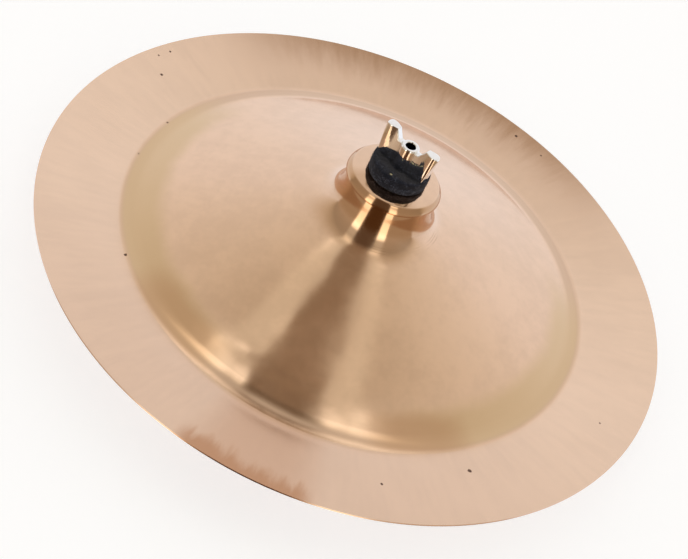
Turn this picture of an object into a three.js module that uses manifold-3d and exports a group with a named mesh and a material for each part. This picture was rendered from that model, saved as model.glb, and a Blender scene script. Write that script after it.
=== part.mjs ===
// An 18 inch china cymbal, clamped between two felts on a threaded stud by a cast wing nut.
// Millimetres, +Z up. The origin is on the axis, in the plane that the crease ring rests on.

import * as THREE from 'three';
import { mergeVertices } from 'three/addons/utils/BufferGeometryUtils.js';
import Module from 'manifold-3d';

const wasm = await Module();
wasm.setup();

// The plate: a bell like a handle, a bow that falls to the crease, and a flange that turns up to the rim.
const rimRadius = 228.6;
const rimHeight = 9.7;
const plateThickness = 1;
const creaseRadius = 169;
const creaseLand = 2.4;
const bowBlend = 10;
const flangeBlend = 3.2;
const footRadius = 45;
const footHeight = 41.7;
const footTurnRadius = 38.3;
const neckFootRadius = 35.3;
const neckFootHeight = 48.2;
const throatRadius = 30;
const throatHeight = 66.5;
const ringRadius = 33.9;
const ringHeight = 70.4;
const shoulderWidth = 9;
const shoulderHeight = 5.4;
const ringCurl = 3.6;
const neckPull = 7.5;
const holeRadius = 6.25;

// The felts. The upper one is squeezed until the nut sinks into it.
const feltRadius = 20;
const feltBoreRadius = 5.7;
const feltGap = 0.3;
const feltRound = 1.4;
const lowerFeltThickness = 15;
const squeezeSpread = 0.8;
const squeezedThickness = 8.6;
const rollHeight = 3.4;
const valleyWidth = 24;
const rollRound = 2.6;

// The cast wing nut.
const nutAngle = THREE.MathUtils.degToRad(-22);
const hubRadius = 6.6;
const hubHeight = 17.3;
const hubChamfer = 0.8;
const nutBoreRadius = 3.45;
const nutSpan = 44;
const wingHeight = 23;
const wingFootRise = 3;
const wingFootLength = 6;
const wingLean = 2.4;
const wingTopLength = 9.5;
const wingTopRound = 1.8;
const webThickness = 4.6;
const webHeight = 16;
const webReach = 8.6;
const lobeWidth = 8;

// The stud, its seat washer and its sleeve.
const threadRadius = 3.3;
const shankRadius = 5.5;
const shankFoot = 14;
const studChamfer = 0.8;
const studBelowHub = 6;
const washerRadius = 14.5;
const washerThickness = 1.5;
const washerLip = 1.6;
const washerBoreRadius = 4;
const sleeveRadius = 5;
const sleeveBoreRadius = 3.7;
const flangeRadius = 12.5;
const flangeThickness = 1.5;
const sleeveBelowNut = 1;

// Facets.
const plateSides = 72;
const roundSides = 40;
const curveSteps = 4;
const cutOverrun = 1;

// Heights that follow from the sizes above.
const bellTop = ringHeight + shoulderHeight;
const upperFeltFoot = bellTop + feltGap;
const nutFoot = upperFeltFoot + squeezedThickness + feltGap;
const lowerFeltTop = bellTop - plateThickness - feltGap;
const lowerFeltFoot = lowerFeltTop - lowerFeltThickness;
const sleeveFoot = lowerFeltFoot - feltGap - flangeThickness;
const washerFoot = sleeveFoot - washerThickness;
const studTop = nutFoot + hubHeight - studBelowHub;

// Points [radius, height] of a profile, from a path whose curves each take the same steps.
function pathPoints(path, steps) {
  return path.getPoints(steps).map((point) => [point.x, point.y]);
}

// The plate's upper line from the hole to the rim.
function plateLine() {
  const bowEnd = creaseRadius - creaseLand / 2 - bowBlend;
  const flangeStart = creaseRadius + creaseLand / 2 + flangeBlend;
  const bowSlope = (footHeight - plateThickness) / (bowEnd - footRadius + bowBlend / 2);
  const flangeSlope = (rimHeight - plateThickness) / (rimRadius - flangeStart + flangeBlend / 2);
  const footTurnHeight = footHeight + bowSlope * (footRadius - footTurnRadius);

  const line = new THREE.Path();
  line.moveTo(holeRadius, bellTop);
  line.lineTo(ringRadius - shoulderWidth, bellTop);
  line.quadraticCurveTo(ringRadius, bellTop, ringRadius, ringHeight);
  line.bezierCurveTo(
    ringRadius, ringHeight - ringCurl, throatRadius, throatHeight + ringCurl,
    throatRadius, throatHeight,
  );
  line.bezierCurveTo(
    throatRadius, throatHeight - neckPull,
    2 * neckFootRadius - footTurnRadius, 2 * neckFootHeight - footTurnHeight,
    neckFootRadius, neckFootHeight,
  );
  line.quadraticCurveTo(footTurnRadius, footTurnHeight, footRadius, footHeight);
  line.lineTo(bowEnd, plateThickness + bowSlope * bowBlend / 2);
  line.quadraticCurveTo(bowEnd + bowBlend / 2, plateThickness, bowEnd + bowBlend, plateThickness);
  line.lineTo(flangeStart - flangeBlend, plateThickness);
  line.quadraticCurveTo(
    flangeStart - flangeBlend / 2, plateThickness,
    flangeStart, plateThickness + flangeSlope * flangeBlend / 2,
  );
  line.lineTo(rimRadius, rimHeight);
  return pathPoints(line, curveSteps);
}

// The line moved square to itself, to the right of its direction of travel.
function offsetLine(points, distance) {
  return points.map(([radius, height], index) => {
    const before = points[Math.max(index - 1, 0)];
    const after = points[Math.min(index + 1, points.length - 1)];
    const arriving = new THREE.Vector2(radius - before[0], height - before[1]).normalize();
    const leaving = new THREE.Vector2(after[0] - radius, after[1] - height).normalize();
    const along = arriving.clone().add(leaving).normalize();
    const lengthening = Math.max(along.dot(arriving), along.dot(leaving));
    return [
      radius + along.y * distance / lengthening,
      height - along.x * distance / lengthening,
    ];
  });
}

// A profile turned about +Z. It runs counter-clockwise, with the radius to the right.
function revolve(points, sides) {
  const profile = points.map(([radius, height]) => new THREE.Vector2(radius, height));
  return new THREE.LatheGeometry(profile, sides).rotateX(Math.PI / 2);
}

function revolveRing(points, sides) {
  return revolve([...points, points[0]], sides);
}

// A flat outline made into a prism that rises from a height.
function prism(shape, height, foot) {
  const settings = { depth: height, bevelEnabled: false, curveSegments: curveSteps };
  return new THREE.ExtrudeGeometry(shape, settings).translate(0, 0, foot);
}

// A front outline [across, height] made into a prism along Y.
function frontPrism(shape, depth) {
  const settings = { depth, bevelEnabled: false, curveSegments: curveSteps };
  return new THREE.ExtrudeGeometry(shape, settings).translate(0, 0, -depth / 2).rotateX(Math.PI / 2);
}

// A shape from the line along its right side, which runs counter-clockwise, and that line's mirror image.
function mirrored(side) {
  const points = side.getPoints(curveSteps);
  const images = points.toReversed().map((point) => new THREE.Vector2(-point.x, point.y));
  return new THREE.Shape([...points, ...images]);
}

function toSolid(geometry) {
  const bare = geometry.clone();
  bare.deleteAttribute('normal');
  bare.deleteAttribute('uv');
  const merged = mergeVertices(bare);
  return new wasm.Manifold(new wasm.Mesh({
    numProp: 3,
    vertProperties: new Float32Array(merged.attributes.position.array),
    triVerts: new Uint32Array(merged.index.array),
  }));
}

function toGeometry(solid) {
  const mesh = solid.getMesh();
  const geometry = new THREE.BufferGeometry();
  geometry.setAttribute('position', new THREE.BufferAttribute(mesh.vertProperties, mesh.numProp));
  geometry.setIndex(new THREE.BufferAttribute(mesh.triVerts, 1));
  geometry.computeVertexNormals();
  return geometry;
}

// The spun and hammered plate: its upper line, and the same line one thickness lower.
function cymbalGeometry() {
  const upper = plateLine();
  const lower = offsetLine(upper, plateThickness);
  return revolveRing([...lower, ...upper.toReversed()], plateSides);
}

// The section of a felt ring, with its outer edges rounded.
function feltSection(radius, foot, top, round) {
  const section = new THREE.Path();
  section.moveTo(feltBoreRadius, foot);
  section.lineTo(radius - feltRound, foot);
  section.quadraticCurveTo(radius, foot, radius, foot + feltRound);
  section.lineTo(radius, top - round);
  section.quadraticCurveTo(radius, top, radius - round, top);
  section.lineTo(feltBoreRadius, top);
  return pathPoints(section, curveSteps);
}

function lowerFeltGeometry() {
  return revolveRing(feltSection(feltRadius, lowerFeltFoot, lowerFeltTop, feltRound), roundSides);
}

// The squeezed felt stands up in a roll on each side of the valley that the nut has pressed into it.
function upperFeltGeometry() {
  const radius = feltRadius + squeezeSpread;
  const valleyFoot = nutFoot - feltGap;
  const rollTop = valleyFoot + rollHeight;
  const floorHalf = lobeWidth / 2 + feltGap;
  const valley = new THREE.Path();
  valley.moveTo(floorHalf, valleyFoot);
  valley.quadraticCurveTo(floorHalf, rollTop, valleyWidth / 2, rollTop);
  valley.lineTo(valleyWidth / 2, rollTop + cutOverrun);
  const cut = frontPrism(mirrored(valley), 2 * (radius + cutOverrun)).rotateZ(Math.PI / 2);

  const body = toSolid(revolveRing(feltSection(radius, upperFeltFoot, rollTop, rollRound), roundSides));
  const pocket = toSolid(hubPocket(valleyFoot, rollTop));
  return toGeometry(body.subtract(toSolid(cut)).subtract(pocket));
}

// The round pocket that the nut's hub has pressed into both rolls.
function hubPocket(foot, top) {
  return revolve([
    [0, foot],
    [hubRadius + feltGap, foot],
    [hubRadius + feltGap, top + cutOverrun],
    [0, top + cutOverrun],
  ], roundSides);
}

// The nut seen from above: a thin web through the hub that swells into a round lobe at each end.
function nutPlan() {
  const web = webThickness / 2;
  const lobe = lobeWidth / 2;
  const lobeCentre = nutSpan / 2 - lobe;
  const swell = lobeCentre - lobe;
  const side = new THREE.Path();
  side.moveTo(webReach, -web);
  side.bezierCurveTo(swell, -web, swell, -lobe, lobeCentre, -lobe);
  side.absarc(lobeCentre, 0, lobe, -Math.PI / 2, Math.PI / 2);
  side.bezierCurveTo(swell, lobe, swell, web, webReach, web);
  return mirrored(side);
}

// The nut seen from the front: a flat foot that lifts at the ends, and wings that lean out past the hub.
function nutFront() {
  const half = nutSpan / 2;
  const footHalf = half - wingLean;
  const side = new THREE.Path();
  side.moveTo(footHalf - wingFootLength, 0);
  side.quadraticCurveTo(footHalf, 0, footHalf, wingFootRise);
  side.lineTo(half, wingHeight - wingTopRound);
  side.quadraticCurveTo(half, wingHeight, half - wingTopRound, wingHeight);
  side.lineTo(half - wingTopLength, wingHeight);
  side.lineTo(webReach, webHeight);
  return mirrored(side);
}

// The hub is a turned boss, and its bore opens in a chamfer at both ends.
function hubGeometry() {
  return revolve([
    [0, 0],
    [hubRadius, 0],
    [hubRadius, hubHeight - hubChamfer],
    [hubRadius - hubChamfer, hubHeight],
    [0, hubHeight],
  ], roundSides);
}

function nutBoreCut() {
  const mouth = nutBoreRadius + hubChamfer;
  return revolve([
    [0, -cutOverrun],
    [mouth + cutOverrun, -cutOverrun],
    [nutBoreRadius, hubChamfer],
    [nutBoreRadius, hubHeight - hubChamfer],
    [mouth + cutOverrun, hubHeight + cutOverrun],
    [0, hubHeight + cutOverrun],
  ], roundSides);
}

function wingNutGeometry() {
  const plan = toSolid(prism(nutPlan(), wingHeight + 2 * cutOverrun, -cutOverrun));
  const front = toSolid(frontPrism(nutFront(), lobeWidth + 2 * cutOverrun));
  const cast = plan.intersect(front).add(toSolid(hubGeometry()));
  return toGeometry(cast.subtract(toSolid(nutBoreCut())));
}

// A plain shank, a shoulder that carries the seat washer, and the threaded end.
function studGeometry() {
  return revolve([
    [0, shankFoot],
    [shankRadius - studChamfer, shankFoot],
    [shankRadius, shankFoot + studChamfer],
    [shankRadius, washerFoot],
    [threadRadius, washerFoot],
    [threadRadius, studTop - studChamfer],
    [threadRadius - studChamfer, studTop],
    [0, studTop],
  ], roundSides);
}

// A pressed washer whose edge is dished down.
function seatWasherGeometry() {
  const upper = [
    [washerBoreRadius, sleeveFoot],
    [washerRadius - washerLip, sleeveFoot],
    [washerRadius, sleeveFoot - washerLip],
  ];
  const lower = offsetLine(upper, washerThickness);
  return revolveRing([...lower, ...upper.toReversed()], roundSides);
}

// A nylon tube that keeps the plate off the thread, on a flange that carries the lower felt.
function sleeveGeometry() {
  const sleeveTop = nutFoot - sleeveBelowNut;
  const flangeTop = sleeveFoot + flangeThickness;
  return revolveRing([
    [sleeveBoreRadius, sleeveFoot],
    [flangeRadius, sleeveFoot],
    [flangeRadius, flangeTop],
    [sleeveRadius, flangeTop],
    [sleeveRadius, sleeveTop],
    [sleeveBoreRadius, sleeveTop],
  ], roundSides);
}

function finish(color, metalness, roughness) {
  return new THREE.MeshStandardMaterial({ color, metalness, roughness });
}

const bronze = finish(0xcfa98a, 1, 0.32);
const felt = finish(0x24242a, 0, 0.95);
const chrome = finish(0xd8d8dc, 1, 0.08);
const steel = finish(0xa9abae, 1, 0.3);
const nylon = finish(0x1c1c1e, 0, 0.55);

function piece(name, geometry, material) {
  const mesh = new THREE.Mesh(geometry, material);
  mesh.name = name;
  return mesh;
}

const cymbal = new THREE.Group();
cymbal.add(piece('cymbal', cymbalGeometry(), bronze));
cymbal.add(piece('stud', studGeometry(), steel));
cymbal.add(piece('seat_washer', seatWasherGeometry(), steel));
cymbal.add(piece('sleeve', sleeveGeometry(), nylon));
cymbal.add(piece('lower_felt', lowerFeltGeometry(), felt));

const clamp = new THREE.Group();
clamp.rotation.z = nutAngle;
clamp.add(piece('upper_felt', upperFeltGeometry(), felt));
const wingNut = piece('wing_nut', wingNutGeometry(), chrome);
wingNut.position.z = nutFoot;
clamp.add(wingNut);
cymbal.add(clamp);

export default cymbal;
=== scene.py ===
# %% [markdown]
# A china cymbal on its clamp, dressed for a picture.
# The plate, its felts and its wing nut are already built at their real size as a plain model.
# This lesson loads that model, gives each piece its true surface, and lights it as in a studio.

# %% The plain model
import random
from math import atan2, cos, exp, hypot, pi, radians, sin, tau

import bmesh
import bpy
from mathutils import Matrix, Vector, noise
from mathutils.geometry import interpolate_bezier


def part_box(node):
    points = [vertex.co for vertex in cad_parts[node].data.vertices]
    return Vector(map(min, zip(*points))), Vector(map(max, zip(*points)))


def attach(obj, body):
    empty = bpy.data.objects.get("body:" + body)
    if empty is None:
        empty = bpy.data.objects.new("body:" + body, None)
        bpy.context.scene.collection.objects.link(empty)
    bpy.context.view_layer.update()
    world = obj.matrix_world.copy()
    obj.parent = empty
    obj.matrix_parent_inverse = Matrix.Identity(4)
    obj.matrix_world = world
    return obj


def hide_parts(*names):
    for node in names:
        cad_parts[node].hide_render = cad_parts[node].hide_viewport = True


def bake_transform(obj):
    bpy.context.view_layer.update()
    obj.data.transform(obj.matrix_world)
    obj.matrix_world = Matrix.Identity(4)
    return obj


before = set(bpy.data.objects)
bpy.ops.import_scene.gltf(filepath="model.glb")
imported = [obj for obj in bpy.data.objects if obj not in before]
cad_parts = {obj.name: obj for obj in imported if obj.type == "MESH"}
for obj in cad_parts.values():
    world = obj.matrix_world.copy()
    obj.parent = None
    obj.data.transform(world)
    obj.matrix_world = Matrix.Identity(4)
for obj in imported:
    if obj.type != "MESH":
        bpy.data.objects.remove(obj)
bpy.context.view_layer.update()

scene = bpy.context.scene
scene.view_settings.view_transform = "Standard"
MM = 0.001
plate_low, plate_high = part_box("cymbal")
print("the plate is", round(2 * plate_high.x / MM, 1), "mm across")

# %% [markdown]
# The camera comes first, because every choice of surface is judged through it.
# The picture was taken from above and in front, with the camera rolled to one side,
# so the round plate lies across the frame as a slanted oval.
# A camera can be aimed with a constraint, but a matrix built from three directions
# says exactly how it stands, and the roll is then one turn of two of them.

# %% The camera
IMAGE_WIDTH = 688
FOCAL_PIXELS = 1251.1
SENSOR_WIDTH = 36.0
CAMERA_DISTANCE = 0.850
CAMERA_AIM = Vector((-0.0009, -0.0443, 0.0097))
CAMERA_ELEVATION = radians(43.06)
CAMERA_ROLL = radians(26.14)

backwards = Vector((0, -cos(CAMERA_ELEVATION), sin(CAMERA_ELEVATION)))
level_right = Vector((1, 0, 0))
level_up = backwards.cross(level_right)
rolled_right = cos(CAMERA_ROLL) * level_right + sin(CAMERA_ROLL) * level_up
rolled_up = cos(CAMERA_ROLL) * level_up - sin(CAMERA_ROLL) * level_right
camera_place = CAMERA_AIM + CAMERA_DISTANCE * backwards

lens = bpy.data.cameras.new("camera")
lens.sensor_width = SENSOR_WIDTH
lens.lens = SENSOR_WIDTH * FOCAL_PIXELS / IMAGE_WIDTH
camera = bpy.data.objects.new("camera", lens)
turn = Matrix((rolled_right, rolled_up, backwards)).transposed().to_4x4()
camera.matrix_world = Matrix.Translation(camera_place) @ turn
scene.collection.objects.link(camera)
scene.camera = camera
print("the lens is", round(lens.lens, 1), "mm")

# %% [markdown]
# Materials here are graphs of nodes. Writing each node out in full hides the idea,
# so one small helper adds a node, sets its options and fills or links its inputs.
# The others are its most used forms: a sum, a product, a soft step from one value to
# another, a blend of two colours, a change of tone, a scaled noise and a bump.

# %% Helpers for nodes
def feed(tree, socket, value):
    """Links a value that comes from a node, or sets a fixed one."""
    if isinstance(value, bpy.types.NodeSocket):
        tree.links.new(value, socket)
    else:
        socket.default_value = value


def add(tree, kind, inputs=None, **options):
    node = tree.nodes.new(kind)
    for name, value in options.items():
        setattr(node, name, value)
    for socket, value in (inputs or {}).items():
        feed(tree, node.inputs[socket], value)
    return node


def calculate(tree, operation, first, second=0.0, third=0.0):
    numbers = {0: first, 1: second, 2: third}
    return add(tree, "ShaderNodeMath", numbers, operation=operation).outputs[0]


def product(tree, first, *others):
    for other in others:
        first = calculate(tree, "MULTIPLY", first, other)
    return first


def fade(tree, value, start, end, low=0.0, high=1.0):
    ends = {"Value": value, "From Min": start, "From Max": end, "To Min": low, "To Max": high}
    return add(tree, "ShaderNodeMapRange", ends, interpolation_type="SMOOTHSTEP").outputs["Result"]


def blend_colours(tree, share, first, second, mode="MIX"):
    node = add(tree, "ShaderNodeMix", {0: share}, data_type="RGBA", blend_type=mode)
    for socket, colour in ((6, first), (7, second)):
        fixed = isinstance(colour, tuple)
        feed(tree, node.inputs[socket], (*colour, 1.0) if fixed else colour)
    return node.outputs[2]


def toned(tree, colour, tone):
    """A colour made lighter or darker by a factor that changes over the surface."""
    grey = add(tree, "ShaderNodeCombineXYZ", {"X": tone, "Y": tone, "Z": tone}).outputs[0]
    return blend_colours(tree, 1.0, colour, grey, "MULTIPLY")


def axis_of(tree, vector, axis):
    return add(tree, "ShaderNodeSeparateXYZ", {0: vector}).outputs[axis]


def clouds(tree, place, scale, detail=2.0, roughness=0.5):
    inputs = {"Vector": place, "Scale": scale, "Detail": detail, "Roughness": roughness}
    return add(tree, "ShaderNodeTexNoise", inputs).outputs["Fac"]


def bumps(tree, height, strength, depth):
    inputs = {"Height": height, "Strength": strength, "Distance": depth}
    return add(tree, "ShaderNodeBump", inputs).outputs[0]


# %% [markdown]
# Every material starts the same way: an empty graph, a Principled shader, an output, and the
# position on the object that its patterns read. Generated coordinates would stretch with the
# box of each piece, but object coordinates keep one scale for all.

# %% A new material
def new_material(name):
    material = bpy.data.materials.new(name)
    material.use_nodes = True
    tree = material.node_tree
    tree.nodes.clear()
    output = tree.nodes.new("ShaderNodeOutputMaterial")
    shader = tree.nodes.new("ShaderNodeBsdfPrincipled")
    tree.links.new(shader.outputs[0], output.inputs["Surface"])
    place = tree.nodes.new("ShaderNodeTexCoord").outputs["Object"]
    return material, tree, shader, place


def set_inputs(tree, shader, **inputs):
    for name, value in inputs.items():
        feed(tree, shader.inputs[name.replace("_", " ")], value)


# %% [markdown]
# Bronze shows the room more than itself. A cymbal in a tent looks pale and pink where it
# mirrors the far wall, and deeper gold where it mirrors the dim roof. Two long soft lamps run
# from overhead down to the front, one on each side, and the dark gap between them is the
# camera's side of the tent. The falling bow draws each lamp out into a bright fan, and the
# bell's wall and neck show the two again as a pair of golden bars.
# The room could be built from lamps and cards. A world graph that paints by direction is
# simpler, has no noise, and lights the felt and the chrome in the same way. Most of it follows
# one arc, which rises from below in front, passes overhead and comes down behind. Each stop
# on it is an angle in degrees from level in front, and the red, green and blue seen there.

# %% The room, painted by direction
TENT_ARC = (
    (-60, 0.58, 0.47, 0.36), (20, 0.56, 0.46, 0.35), (86, 0.47, 0.40, 0.31), (99, 0.62, 0.54, 0.42),
    (110, 0.75, 0.68, 0.57), (130, 0.86, 0.81, 0.74), (145, 0.93, 0.90, 0.88), (165, 0.96, 0.95, 0.95),
    (180, 1.00, 1.01, 1.05),
)
LAMP_ARC = (
    (-20, 2.00, 1.86, 1.52), (15, 2.60, 2.42, 1.98), (34, 2.10, 1.95, 1.60), (48, 0.78, 0.72, 0.60),
    (74, 0.68, 0.63, 0.52), (88, 1.30, 1.21, 0.99), (97, 0.78, 0.71, 0.57), (102, 0.76, 0.69, 0.55),
    (107, 1.60, 1.50, 1.28), (113, 1.90, 1.80, 1.55), (120, 1.40, 1.32, 1.12),
)
GAP_ARC = (
    (0, 0.11, 0.052, 0.02), (30, 0.14, 0.09, 0.055), (76, 0.14, 0.09, 0.055), (90, 0.31, 0.22, 0.147),
    (100, 0.30, 0.215, 0.14), (108, 0.20, 0.14, 0.09),
)
LAMP_SHIFT = 0.015
LAMP_PLACE, LAMP_CLOSED, LAMP_CLOSING = 0.18, 0.16, (0.16, 0.55)
LAMP_SPREAD = 0.325
LAMP_HALF, LAMP_GROWTH = 0.050, 0.094
LAMP_EDGE = 0.03
LAMP_FADE = (0.55, 0.34)
ARC_START = radians(90)

world = bpy.data.worlds.new("studio")
world.use_nodes = True
scene.world = world


def along_arc(tree, arc, stops):
    """The colour at a place on the arc, blended from its stops."""
    ramp = add(tree, "ShaderNodeValToRGB", {0: arc})
    marks = ramp.color_ramp.elements
    marks.remove(marks[1])
    for degrees, *colour in stops:
        marks.new((radians(degrees) + ARC_START) / tau).color = (*colour, 1)
    marks.remove(marks[0])
    return ramp.outputs["Color"]


def paint_lamps(tree, tent, sideways, back, arc):
    front = calculate(tree, "MAXIMUM", calculate(tree, "MULTIPLY", back, -1.0), 0.0)
    closing = fade(tree, back, *LAMP_CLOSING, LAMP_PLACE, LAMP_CLOSED)
    centre = calculate(tree, "MULTIPLY_ADD", front, LAMP_SPREAD, closing)
    half = calculate(tree, "MULTIPLY_ADD", front, LAMP_GROWTH, LAMP_HALF)
    across = calculate(tree, "SUBTRACT", sideways, centre)
    inner = calculate(tree, "SUBTRACT", calculate(tree, "MULTIPLY", half, -1.0), LAMP_EDGE)
    from_gap = fade(tree, calculate(tree, "SUBTRACT", across, inner), 0.0, LAMP_EDGE)
    to_rest = fade(tree, calculate(tree, "SUBTRACT", across, half), LAMP_EDGE, 0.0)
    reach = fade(tree, back, *LAMP_FADE)
    lit = blend_colours(
        tree, product(tree, from_gap, to_rest, reach), tent, along_arc(tree, arc, LAMP_ARC),
    )
    in_gap = product(tree, calculate(tree, "SUBTRACT", 1.0, from_gap), reach)
    return blend_colours(tree, in_gap, lit, along_arc(tree, arc, GAP_ARC))


def paint_room(tree):
    tree.nodes.clear()
    direction = tree.nodes.new("ShaderNodeTexCoord").outputs["Generated"]
    parts = add(tree, "ShaderNodeSeparateXYZ", {0: direction}).outputs
    sideways = calculate(tree, "ABSOLUTE", calculate(tree, "ADD", parts["X"], LAMP_SHIFT))
    ahead = calculate(tree, "MULTIPLY", parts["Y"], -1.0)
    rise = calculate(tree, "ADD", calculate(tree, "ARCTAN2", parts["Z"], ahead), ARC_START)
    arc = calculate(tree, "DIVIDE", calculate(tree, "WRAP", rise, tau, 0.0), tau)
    tent = along_arc(tree, arc, TENT_ARC)
    room = paint_lamps(tree, tent, sideways, parts["Y"], arc)
    seen = tree.nodes.new("ShaderNodeLightPath").outputs["Is Camera Ray"]
    shown = blend_colours(tree, seen, room, (1.0, 1.0, 1.0))
    background = add(tree, "ShaderNodeBackground", {"Color": shown})
    output = tree.nodes.new("ShaderNodeOutputWorld")
    tree.links.new(background.outputs[0], output.inputs["Surface"])


paint_room(world.node_tree)
print("the room is a graph of", len(world.node_tree.nodes), "nodes")

# %% [markdown]
# The floor is a plain pale sheet far wider than the view. A lit floor alone would go grey,
# so for the camera part of its white is light of its own, and the rest is lit by the room, so
# that the object's shadow still falls on it. Metal looks through it to the painted room,
# and so does a camera that looks up from below it. A cymbal stands clear of the ground, and
# here it needs 23 mm below it to rock without dipping into the floor.

# %% The floor
FLOOR_SIZE = 12.0
FLOOR_DROP = 0.026
FLOOR_WHITE = (0.485, 0.50, 0.52)
FLOOR_GLOW = (0.66, 0.67, 0.69)


def floor_material():
    material, tree, shader, _ = new_material("floor")
    path = tree.nodes.new("ShaderNodeLightPath").outputs
    seen = calculate(tree, "MAXIMUM", path["Is Camera Ray"], path["Is Transmission Ray"])
    glow = blend_colours(tree, seen, (0, 0, 0), FLOOR_GLOW)
    set_inputs(
        tree, shader, Base_Color=(*FLOOR_WHITE, 1), Roughness=1, Specular_IOR_Level=0,
        Emission_Color=glow, Emission_Strength=1,
    )
    clear = tree.nodes.new("ShaderNodeBsdfTransparent").outputs[0]
    from_below = tree.nodes.new("ShaderNodeNewGeometry").outputs["Backfacing"]
    unseen = calculate(tree, "MAXIMUM", path["Is Glossy Ray"], from_below)
    sheet = add(tree, "ShaderNodeMixShader", {0: unseen, 1: shader.outputs[0], 2: clear})
    output = next(node for node in tree.nodes if node.type == "OUTPUT_MATERIAL")
    tree.links.new(sheet.outputs[0], output.inputs["Surface"])
    return material


def make_floor():
    sheet = bmesh.new()
    bmesh.ops.create_grid(sheet, x_segments=1, y_segments=1, size=FLOOR_SIZE / 2)
    level = Vector((0, 0, plate_low.z - FLOOR_DROP))
    bmesh.ops.translate(sheet, verts=sheet.verts, vec=level)
    mesh = bpy.data.meshes.new("floor")
    sheet.to_mesh(mesh)
    sheet.free()
    mesh.materials.append(floor_material())
    floor = bpy.data.objects.new("floor", mesh)
    scene.collection.objects.link(floor)


make_floor()
print("the floor lies", round(FLOOR_DROP / MM), "mm below the plate")

# %% [markdown]
# Almost every piece of a cymbal's clamp is a turned one. Such a piece can be made from a
# cylinder, but a lathe tells its story better: draw half of the section, then spin it. The
# line of such a section is joined from straight and round stretches, which share the points
# where they meet.

# %% Stretches of a line
def curve(start, pull, end, steps):
    """A round stretch that leaves start towards pull and reaches end from it."""
    first, middle, last = (Vector((*point, 0)) for point in (start, pull, end))
    near = first.lerp(middle, 2 / 3)
    far = last.lerp(middle, 2 / 3)
    return [(p.x, p.y) for p in interpolate_bezier(first, near, far, last, steps)]


def sway(start, first_pull, second_pull, end, steps):
    """A stretch with a pull of its own at each end."""
    corners = [Vector((*point, 0)) for point in (start, first_pull, second_pull, end)]
    return [(p.x, p.y) for p in interpolate_bezier(*corners, steps)]


def straight(start, end, steps):
    first, last = Vector(start), Vector(end)
    return [tuple(first.lerp(last, i / steps)) for i in range(steps + 1)]


def joined(*stretches):
    """The stretches as one line, with the points that two of them share kept once."""
    line = list(stretches[0])
    for stretch in stretches[1:]:
        line += stretch[1:]
    return line


# %% [markdown]
# A lathe turns the piece and holds the tool still. Spin does the same with a line of points,
# closed into a ring or left open for a thin shell. Where the turn comes round, and where the
# line meets the axis, points lie on one another, so they are welded.

# %% A lathe
WELD = 1e-6
TURNED_SIDES = 64


def sealed(shape):
    """Welds the seams and poles of a shape and turns its faces outwards."""
    bmesh.ops.remove_doubles(shape, verts=shape.verts, dist=WELD)
    bmesh.ops.recalc_face_normals(shape, faces=shape.faces)
    return shape


def lathe(line, sides, closed):
    turned = bmesh.new()
    verts = [turned.verts.new((radius, 0, height)) for radius, height in line]
    edges = [turned.edges.new(pair) for pair in zip(verts, verts[1:])]
    if closed:
        edges.append(turned.edges.new((verts[-1], verts[0])))
    bmesh.ops.spin(
        turned, geom=verts + edges, cent=(0, 0, 0), axis=(0, 0, 1), dvec=(0, 0, 0),
        angle=tau, steps=sides, use_merge=True, use_normal_flip=False, use_duplicate=False,
    )
    return sealed(turned)


# %% [markdown]
# Every piece ends in the same few steps: its mesh becomes an object at the origin, it is tied
# to the body that it moves with and stands for its plain piece, and where it has sharp edges a
# bevel rounds them. Writing the steps out each time would hide what is special to a piece.

# %% From a shape to a finished piece
EDGE_ANGLE = radians(35)


def object_of(name, shape, material=None):
    """Makes a bmesh an object of the scene."""
    mesh = bpy.data.meshes.new(name)
    shape.to_mesh(mesh)
    shape.free()
    if material:
        mesh.materials.append(material)
    mesh.shade_smooth()
    piece = bpy.data.objects.new(name, mesh)
    scene.collection.objects.link(piece)
    return piece


def finished(piece, body, slot, *nodes):
    """Lets a piece ride on its body and stand for its plain nodes."""
    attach(piece, body)
    if nodes:
        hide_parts(*nodes)
    print(piece.name, "has", len(piece.data.polygons), "faces")
    return piece


def round_edges(piece, width, segments):
    edge = piece.modifiers.new("edges", "BEVEL")
    edge.width = width
    edge.segments = segments
    edge.limit_method = "ANGLE"
    edge.angle_limit = EDGE_ANGLE
    piece.modifiers.new("shading", "WEIGHTED_NORMAL")


# %% [markdown]
# The plate is one sheet of bronze a millimetre thick. From the hole outwards it runs flat
# under the felt, rounds over the shoulder, draws in to the throat like a handle, flares into
# the bow, falls to the crease and turns up into the flange. The line below follows it with
# curves, so that its mirror-like surface bends without facets, and the lathe spins it.

# %% The plate's line
THICKNESS = 1.0 * MM
HOLE_RADIUS = 6.25 * MM
TOP_RADIUS = 22.5 * MM
EDGE_RADIUS, EDGE_HEIGHT = 30.4 * MM, 75.05 * MM
EDGE_TURN, EDGE_SLOPE, WALL_SLOPE = 0.5 * MM, 0.2, 1.5
RING_RADIUS, RING_HEIGHT = 33.9 * MM, 69.8 * MM
RING_RISE, RING_CURL = 1.8 * MM, 1.3 * MM
THROAT_RADIUS, THROAT_HEIGHT = 29.6 * MM, 68.2 * MM
NECK_LEAN, NECK_PULL = 2.0 * MM, 5.5 * MM
NECK_FOOT_RADIUS, NECK_FOOT_HEIGHT = 35.0 * MM, 50.6 * MM
FOOT_TURN_RADIUS = 38.3 * MM
FOOT_RADIUS, FOOT_HEIGHT = 49.0 * MM, 40.32 * MM
BOW_END = 157.8 * MM
LAND_START, LAND_END = 167.8 * MM, 170.2 * MM
FLANGE_START = 173.4 * MM
RIM_RADIUS, RIM_HEIGHT = 228.6 * MM, 9.7 * MM
BOW_TURN = (BOW_END + LAND_START) / 2
FLANGE_TURN = (LAND_END + FLANGE_START) / 2
BOW_SLOPE = (FOOT_HEIGHT - THICKNESS) / (BOW_TURN - FOOT_RADIUS)
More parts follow.
